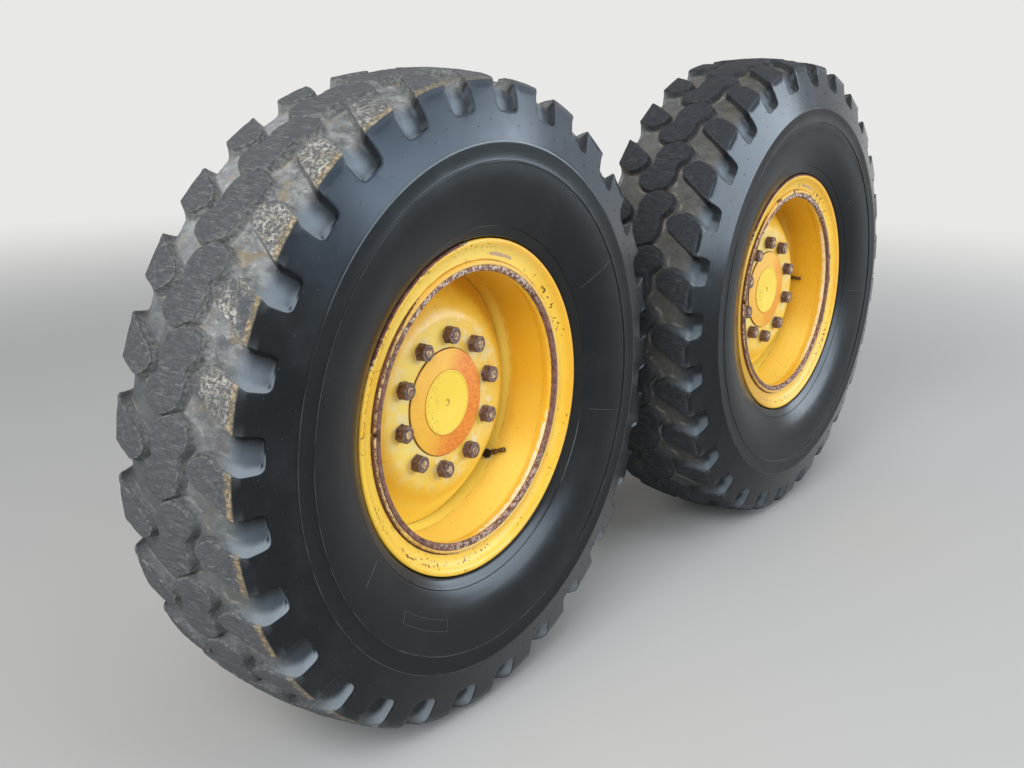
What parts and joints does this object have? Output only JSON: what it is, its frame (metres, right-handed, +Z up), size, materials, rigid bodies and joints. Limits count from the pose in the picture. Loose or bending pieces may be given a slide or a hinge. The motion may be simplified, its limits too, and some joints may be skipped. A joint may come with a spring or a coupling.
{
  "type": "motor grader tandem drive unit with two wheels",
  "caption": "Left rear tandem drive of a motor grader: a rocking chain case on a bolted pivot housing, with two large lugged tyres on yellow multi-piece rims.",
  "frame": {"origin": "centre of the pivot housing's bolting face, on the axis that the case rocks about", "axes": "+X forward on the machine, +Y outboard (left), +Z up"},
  "size_m": [2.8594, 0.693, 1.3498],
  "materials": {
    "housing_paint": "dusty yellow paint",
    "case_paint": "yellow paint with stains and chips",
    "rim_paint": "yellow paint, chipped to rust at the edges",
    "rusted_paint": "yellow paint rusted through",
    "rusted_steel": "rusted",
    "bare_steel": "machined and oily",
    "plug_steel": "oily",
    "bronze": "machined",
    "valve_rubber": "dull",
    "tyre_rubber": "dressed black sidewalls, worn dusty tread"
  },
  "bodies": {
    "pivot": {"pivot_housing": "housing_paint", "shaft_carrier": "bare_steel", "thrust_ring": "bronze", "retainer_ring": "bare_steel"},
    "case": {"case_inner_plate": "case_paint", "case_outer_plate": "case_paint", "case_band": "case_paint", "pivot_bush": "bronze", "round_cover": "case_paint", "front_chain_cover": "case_paint", "rear_chain_cover": "case_paint", "front_top_cover": "case_paint", "rear_top_cover": "case_paint", "filler_plug": "plug_steel", "level_plug": "plug_steel", "drain_plug": "plug_steel", "front_spindle": "case_paint", "rear_spindle": "case_paint"},
    "front_wheel": {"front_hub": "housing_paint", "front_hub_cap": "rusted_paint", "front_disc": "rim_paint", "front_wheel_nuts": "rusted_steel", "front_valve": "valve_rubber", "front_rim_base": "rim_paint", "front_side_ring": "rim_paint", "front_lock_ring": "rim_paint", "front_tyre": "tyre_rubber"},
    "rear_wheel": {"rear_hub": "housing_paint", "rear_hub_cap": "rusted_paint", "rear_disc": "rim_paint", "rear_wheel_nuts": "rusted_steel", "rear_valve": "valve_rubber", "rear_rim_base": "rim_paint", "rear_side_ring": "rim_paint", "rear_lock_ring": "rim_paint", "rear_tyre": "tyre_rubber"}
  },
  "joints": [
    {"name": "case_rock", "type": "hinge", "parent": "pivot", "child": "case", "pos_m": [0, 0, 0], "axis": [0, 1, 0], "range_deg": [-15, 25]},
    {"name": "front_wheel_spin", "type": "hinge", "parent": "case", "child": "front_wheel", "pos_m": [0.755, 0.507, -0.03], "axis": [0, 1, 0], "continuous": true},
    {"name": "rear_wheel_spin", "type": "hinge", "parent": "case", "child": "rear_wheel", "pos_m": [-0.755, 0.507, -0.03], "axis": [0, 1, 0], "continuous": true}
  ]
}
